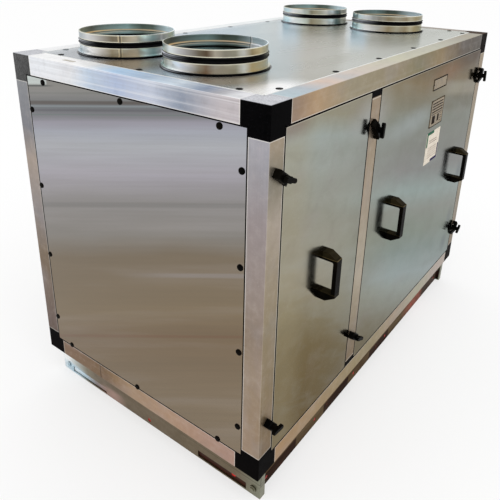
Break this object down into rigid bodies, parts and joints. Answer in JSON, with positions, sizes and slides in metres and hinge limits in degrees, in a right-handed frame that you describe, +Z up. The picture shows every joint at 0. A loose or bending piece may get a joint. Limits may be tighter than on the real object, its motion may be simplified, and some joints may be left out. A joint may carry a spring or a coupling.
{
  "type": "air handling unit",
  "caption": "Compact air handling unit: sandwich-panel casing in an aluminium frame on a base, with roof duct spigots, lift-off doors, handles and swivel clamps.",
  "frame": {"origin": "on the floor, below the middle of the whole unit's box", "axes": "+X along the length, the doors face -Y, +Z up"},
  "size_m": [1.38, 0.855, 1.082],
  "materials": {
    "galvanised_sheet": "glossy hot-dip galvanised sheet",
    "aluminium_profile": "raw extruded aluminium, satin",
    "zinc_spigot": "bright galvanised sheet",
    "base_steel": "dull galvanised steel, dusty",
    "black_plastic": "satin moulded black polyamide",
    "black_rubber": "matt black rubber"
  },
  "bodies": {
    "root": {"corner_pieces_top": "black_plastic", "corner_pieces_bottom": "black_plastic", "mullion_caps": "black_plastic", "handle_left": "black_plastic", "handle_middle": "black_plastic", "handle_right": "black_plastic", "rail_top_front": "aluminium_profile", "rail_top_back": "aluminium_profile", "rail_top_left": "aluminium_profile", "rail_top_right": "aluminium_profile", "rail_bottom_front": "aluminium_profile", "rail_bottom_back": "aluminium_profile", "rail_bottom_left": "aluminium_profile", "rail_bottom_right": "aluminium_profile", "post_front_left": "aluminium_profile", "post_front_right": "aluminium_profile", "post_back_left": "aluminium_profile", "post_back_right": "aluminium_profile", "mullion": "aluminium_profile", "panel_left": "galvanised_sheet", "panel_right": "galvanised_sheet", "panel_back": "galvanised_sheet", "panel_bottom": "galvanised_sheet", "panel_top": "galvanised_sheet", "door_left": "galvanised_sheet", "door_right": "galvanised_sheet", "spigot_left_front": "zinc_spigot", "spigot_left_back": "zinc_spigot", "spigot_right_front": "zinc_spigot", "spigot_right_back": "zinc_spigot", "spigot_seals": "black_rubber", "spigot_gaskets": "black_rubber", "base_left": "base_steel", "base_right": "base_steel", "base_front": "base_steel", "base_back": "base_steel"},
    "clamp_left_top": {"clamp_left_top_arm": "black_plastic", "clamp_left_top_knob": "black_plastic"},
    "clamp_left_bottom": {"clamp_left_bottom_arm": "black_plastic", "clamp_left_bottom_knob": "black_plastic"},
    "clamp_middle_top": {"clamp_middle_top_arm": "black_plastic", "clamp_middle_top_knob": "black_plastic"},
    "clamp_middle_bottom": {"clamp_middle_bottom_arm": "black_plastic", "clamp_middle_bottom_knob": "black_plastic"},
    "clamp_right_top": {"clamp_right_top_arm": "black_plastic", "clamp_right_top_knob": "black_plastic"},
    "clamp_right_bottom": {"clamp_right_bottom_arm": "black_plastic", "clamp_right_bottom_knob": "black_plastic"}
  },
  "joints": [
    {"name": "clamp_left_top_turn", "type": "hinge", "parent": "root", "child": "clamp_left_top", "pos_m": [-0.652, -0.3875, 0.875], "axis": [0, 1, 0], "range_deg": [-36, 54]},
    {"name": "clamp_left_bottom_turn", "type": "hinge", "parent": "root", "child": "clamp_left_bottom", "pos_m": [-0.652, -0.3875, 0.25], "axis": [0, 1, 0], "range_deg": [-51, 39]},
    {"name": "clamp_middle_top_turn", "type": "hinge", "parent": "root", "child": "clamp_middle_top", "pos_m": [-0.2325, -0.3875, 0.875], "axis": [0, 1, 0], "range_deg": [-55, 35]},
    {"name": "clamp_middle_bottom_turn", "type": "hinge", "parent": "root", "child": "clamp_middle_bottom", "pos_m": [-0.2325, -0.3875, 0.25], "axis": [0, 1, 0], "range_deg": [-37, 53]},
    {"name": "clamp_right_top_turn", "type": "hinge", "parent": "root", "child": "clamp_right_top", "pos_m": [0.652, -0.3875, 0.875], "axis": [0, 1, 0], "range_deg": [-15, 75]},
    {"name": "clamp_right_bottom_turn", "type": "hinge", "parent": "root", "child": "clamp_right_bottom", "pos_m": [0.652, -0.3875, 0.25], "axis": [0, 1, 0], "range_deg": [-40, 50]}
  ]
}
